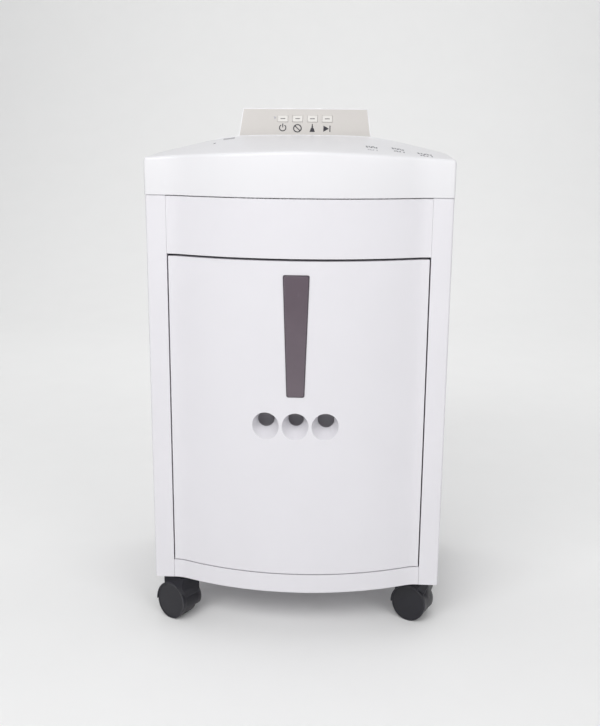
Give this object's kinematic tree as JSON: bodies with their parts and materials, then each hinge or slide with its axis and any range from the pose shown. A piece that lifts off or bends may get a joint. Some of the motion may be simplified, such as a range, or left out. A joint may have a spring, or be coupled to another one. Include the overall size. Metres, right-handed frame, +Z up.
{
  "type": "paper shredder",
  "caption": "Caster-mounted office paper shredder with a domed top, control console and pull-out bin drawer behind a bowed front.",
  "frame": {"origin": "on the floor under the middle of the machine; the paper slot is centred above it", "axes": "+Z up, -Y out of the drawer front, +X to the right seen from the front"},
  "size_m": [0.388, 0.329, 0.6849],
  "materials": {
    "body_white": "fine satin",
    "cover_white": "semi-gloss",
    "panel_steel": "powder coat",
    "chassis_steel": "zinc plated",
    "cutter_steel": "ground",
    "gear_steel": "machined",
    "gear_nylon": "nylon",
    "bronze": "sintered",
    "overlay": "satin film",
    "key_plastic": "satin",
    "window_smoke": "smoked",
    "pocket_grey": "matte",
    "bin_grey": "matte",
    "dark_plastic": "matte",
    "caster_plastic": "moulded",
    "board_green": "board",
    "motor_paint": "enamel",
    "screw_zinc": "zinc plated"
  },
  "bodies": {
    "cabinet": {"left_side_panel": "panel_steel", "right_side_panel": "panel_steel", "rear_panel": "panel_steel", "base_panel": "panel_steel", "bottom_rail": "body_white", "front_fascia": "body_white", "deck_plate": "chassis_steel", "top_cover": "cover_white", "throat_guide": "dark_plastic", "console_housing": "cover_white", "console_overlay": "overlay", "cutter_plate_left": "chassis_steel", "cutter_plate_right": "chassis_steel", "gear_outer_plate": "chassis_steel", "tie_rods": "chassis_steel", "gear_pins": "chassis_steel", "cutter_bushes": "bronze", "stripper_combs": "chassis_steel", "motor_can": "motor_paint", "control_board": "board_green", "key_board": "board_green", "power_inlet": "dark_plastic", "paper_sensor": "dark_plastic", "drawer_switch": "dark_plastic", "bin_guides": "chassis_steel", "caster_sockets": "dark_plastic", "cabinet_screws": "screw_zinc", "chassis_screws": "screw_zinc"},
    "drawer": {"drawer_front": "body_white", "drawer_window": "window_smoke", "handle_pocket": "pocket_grey", "waste_bin": "bin_grey", "drawer_screws": "screw_zinc", "switch_magnet": "dark_plastic"},
    "rear_cutter_group": {"rear_cutter": "cutter_steel", "rear_sync_gear": "gear_steel", "rear_drive_gear": "gear_steel"},
    "front_cutter_group": {"front_cutter": "cutter_steel", "front_sync_gear": "gear_steel"},
    "second_gear_body": {"second_gear": "gear_steel"},
    "first_gear_body": {"first_gear": "gear_nylon"},
    "rotor_body": {"motor_rotor": "cutter_steel"},
    "power_key_body": {"power_key": "key_plastic"},
    "cancel_key_body": {"cancel_key": "key_plastic"},
    "clean_key_body": {"clean_key": "key_plastic"},
    "forward_key_body": {"forward_key": "key_plastic"},
    "caster_fl": {"caster_hood_fl": "caster_plastic", "caster_pins_fl": "screw_zinc"},
    "wheel_fl": {"caster_wheel_fl": "caster_plastic"},
    "caster_fr": {"caster_hood_fr": "caster_plastic", "caster_pins_fr": "screw_zinc"},
    "wheel_fr": {"caster_wheel_fr": "caster_plastic"},
    "caster_rl": {"caster_hood_rl": "caster_plastic", "caster_pins_rl": "screw_zinc"},
    "wheel_rl": {"caster_wheel_rl": "caster_plastic"},
    "caster_rr": {"caster_hood_rr": "caster_plastic", "caster_pins_rr": "screw_zinc"},
    "wheel_rr": {"caster_wheel_rr": "caster_plastic"}
  },
  "joints": [
    {"name": "drawer_slide", "type": "slide", "parent": "cabinet", "child": "drawer", "axis": [0, -1, 0], "range_m": [0, 0.2]},
    {"name": "rear_cutter_spin", "type": "hinge", "parent": "cabinet", "child": "rear_cutter_group", "pos_m": [0, 0.017, 0.548], "axis": [1, 0, 0], "continuous": true},
    {"name": "front_cutter_spin", "type": "hinge", "parent": "cabinet", "child": "front_cutter_group", "pos_m": [0, -0.017, 0.548], "axis": [1, 0, 0], "continuous": true},
    {"name": "second_gear_spin", "type": "hinge", "parent": "cabinet", "child": "second_gear_body", "pos_m": [0, 0.06811, 0.55999], "axis": [1, 0, 0], "continuous": true},
    {"name": "first_gear_spin", "type": "hinge", "parent": "cabinet", "child": "first_gear_body", "pos_m": [0, 0.10259, 0.53305], "axis": [1, 0, 0], "continuous": true},
    {"name": "rotor_spin", "type": "hinge", "parent": "cabinet", "child": "rotor_body", "pos_m": [0, 0.09738, 0.5626], "axis": [1, 0, 0], "continuous": true},
    {"name": "power_key_press", "type": "slide", "parent": "cabinet", "child": "power_key_body", "axis": [0, 0.9397, -0.342], "range_m": [0, 0.0008], "stiffness_N_per_m": 300},
    {"name": "cancel_key_press", "type": "slide", "parent": "cabinet", "child": "cancel_key_body", "axis": [0, 0.9397, -0.342], "range_m": [0, 0.0008], "stiffness_N_per_m": 300},
    {"name": "clean_key_press", "type": "slide", "parent": "cabinet", "child": "clean_key_body", "axis": [0, 0.9397, -0.342], "range_m": [0, 0.0008], "stiffness_N_per_m": 300},
    {"name": "forward_key_press", "type": "slide", "parent": "cabinet", "child": "forward_key_body", "axis": [0, 0.9397, -0.342], "range_m": [0, 0.0008], "stiffness_N_per_m": 300},
    {"name": "caster_fl_swivel", "type": "hinge", "parent": "cabinet", "child": "caster_fl", "pos_m": [-0.1758, -0.1023, 0.045], "axis": [0, 0, 1], "continuous": true},
    {"name": "wheel_fl_spin", "type": "hinge", "parent": "caster_fl", "child": "wheel_fl", "pos_m": [-0.16879, -0.12018, 0.02388], "axis": [0.5714, 0.816, -0.0872], "continuous": true},
    {"name": "caster_fr_swivel", "type": "hinge", "parent": "cabinet", "child": "caster_fr", "pos_m": [0.1758, -0.1023, 0.045], "axis": [0, 0, 1], "continuous": true},
    {"name": "wheel_fr_spin", "type": "hinge", "parent": "caster_fr", "child": "wheel_fr", "pos_m": [0.15664, -0.10367, 0.02388], "axis": [0.4905, 0.867, -0.0872], "continuous": true},
    {"name": "caster_rl_swivel", "type": "hinge", "parent": "cabinet", "child": "caster_rl", "pos_m": [-0.1758, 0.118, 0.045], "axis": [0, 0, 1], "continuous": true},
    {"name": "wheel_rl_spin", "type": "hinge", "parent": "caster_rl", "child": "wheel_rl", "pos_m": [-0.15664, 0.11663, 0.02388], "axis": [-0.4905, 0.867, -0.0872], "continuous": true},
    {"name": "caster_rr_swivel", "type": "hinge", "parent": "cabinet", "child": "caster_rr", "pos_m": [0.1758, 0.118, 0.045], "axis": [0, 0, 1], "continuous": true},
    {"name": "wheel_rr_spin", "type": "hinge", "parent": "caster_rr", "child": "wheel_rr", "pos_m": [0.16879, 0.10012, 0.02388], "axis": [-0.5714, 0.816, -0.0872], "continuous": true}
  ],
  "couplings": [
    {"joint": "front_cutter_spin", "follows": "rear_cutter_spin", "ratio": -1},
    {"joint": "second_gear_spin", "follows": "rear_cutter_spin", "ratio": -3},
    {"joint": "first_gear_spin", "follows": "rear_cutter_spin", "ratio": 12},
    {"joint": "rotor_spin", "follows": "rear_cutter_spin", "ratio": -60}
  ]
}
